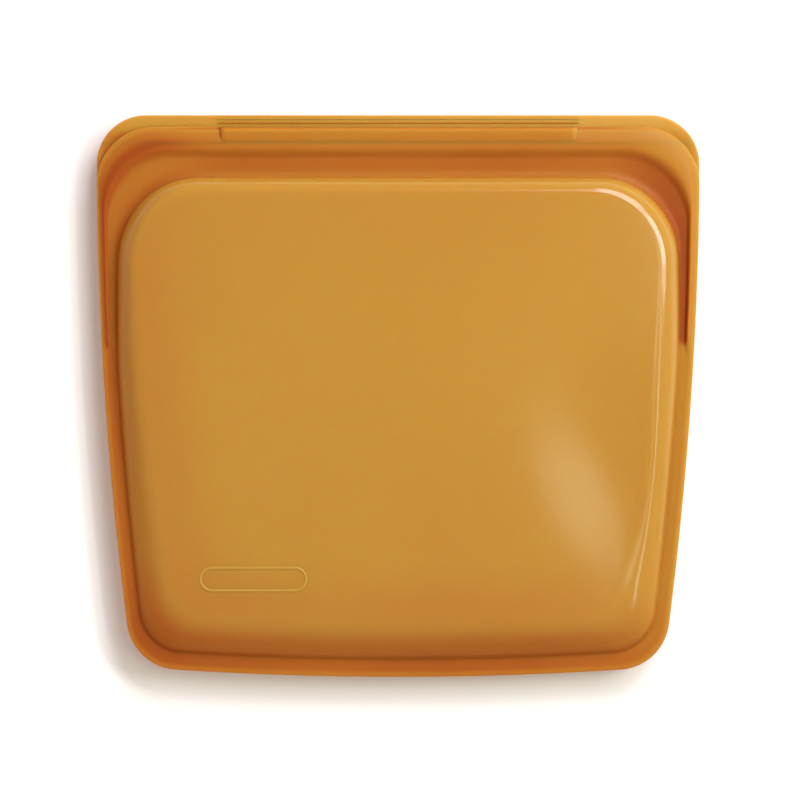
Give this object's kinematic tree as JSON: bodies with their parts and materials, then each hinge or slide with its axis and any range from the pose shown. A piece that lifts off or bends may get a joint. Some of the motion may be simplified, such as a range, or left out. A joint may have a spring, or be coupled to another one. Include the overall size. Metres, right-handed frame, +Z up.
{
  "type": "reusable silicone storage bag",
  "caption": "Flat square silicone storage bag with dished front and back walls, a bonded rim, a press seal round its mouth and a long and a short pull lip.",
  "frame": {"origin": "centre of the bag's outline, on the face it rests on", "axes": "+Y towards the mouth, +X to the right seen from the front, +Z up through the thickness, from the back wall to the front wall"},
  "size_m": [0.1902, 0.1772, 0.0204],
  "materials": {
    "silicone": "translucent amber-orange silicone with a soft satin sheen",
    "seal_silicone": "the same silicone, thicker and so deeper in colour, satin",
    "bond_silicone": "the same silicone where the two walls are bonded, satin"
  },
  "bodies": {
    "back_rest": {"back_panel": "silicone", "back_fold": "silicone"},
    "bag_frame": {"back_flange": "silicone", "seal_channel": "seal_silicone", "left_seal_stop": "seal_silicone", "right_seal_stop": "seal_silicone", "edge_bond": "bond_silicone", "front_wall_lower": "silicone", "front_fold": "silicone", "blank_mark": "silicone"},
    "back_lip": {"back_lip_strip": "silicone", "back_grip_ridges": "silicone"},
    "front_flap": {"front_wall_upper": "silicone", "seal_rib": "seal_silicone"},
    "front_lip": {"front_lip_strip": "silicone", "front_grip_bar": "silicone"}
  },
  "joints": [
    {"name": "pouch_press", "type": "slide", "parent": "back_rest", "child": "bag_frame", "axis": [0, 0, 1], "range_m": [-0.006, 0], "stiffness_N_per_m": 800, "springref_m": 0.002, "deforming": ["back_fold"]},
    {"name": "mouth_open", "type": "hinge", "parent": "bag_frame", "child": "front_flap", "pos_m": [0, 0.0161, 0.011], "axis": [1, 0, 0], "range_deg": [0, 60], "deforming": ["front_fold"]},
    {"name": "front_lip_pull", "type": "hinge", "parent": "front_flap", "child": "front_lip", "pos_m": [0, 0.0796, 0.011], "axis": [1, 0, 0], "range_deg": [0, 45], "stiffness_Nm_per_rad": 0.003},
    {"name": "back_lip_pull", "type": "hinge", "parent": "bag_frame", "child": "back_lip", "pos_m": [0, 0.0796, 0.009], "axis": [1, 0, 0], "range_deg": [-40, 0], "stiffness_Nm_per_rad": 0.003}
  ]
}
